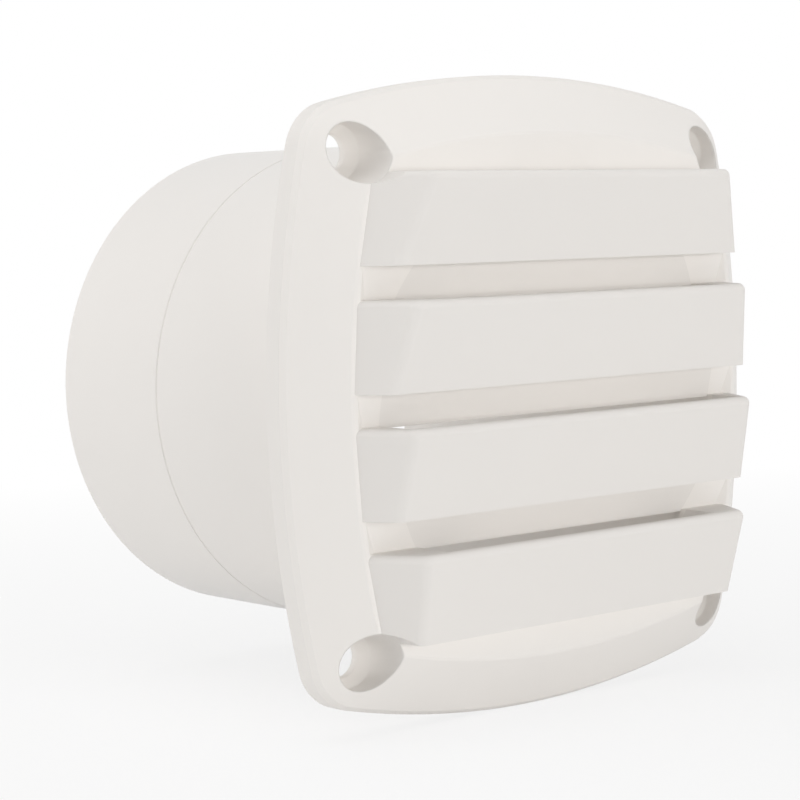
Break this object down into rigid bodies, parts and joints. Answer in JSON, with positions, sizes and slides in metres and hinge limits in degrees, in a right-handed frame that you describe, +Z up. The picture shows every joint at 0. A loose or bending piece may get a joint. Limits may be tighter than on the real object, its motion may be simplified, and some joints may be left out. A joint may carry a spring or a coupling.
{
  "type": "louvred hull vent",
  "caption": "Square domed vent plate with raked louvre hoods, countersunk corner screw holes and a round hose collar behind.",
  "frame": {"origin": "on the collar's axis, in the plane where the plate meets the hull", "axes": "+Y along the collar's axis into the boat, louvres face -Y, +Z up, +X to the right seen from behind the viewer"},
  "size_m": [0.1254, 0.1087, 0.1254],
  "materials": {
    "white_plastic": "satin moulded ABS"
  },
  "bodies": {
    "root": {"face_plate": "white_plastic", "louver_1": "white_plastic", "louver_2": "white_plastic", "louver_3": "white_plastic", "louver_4": "white_plastic", "collar": "white_plastic", "collar_sleeve": "white_plastic"}
  },
  "joints": []
}
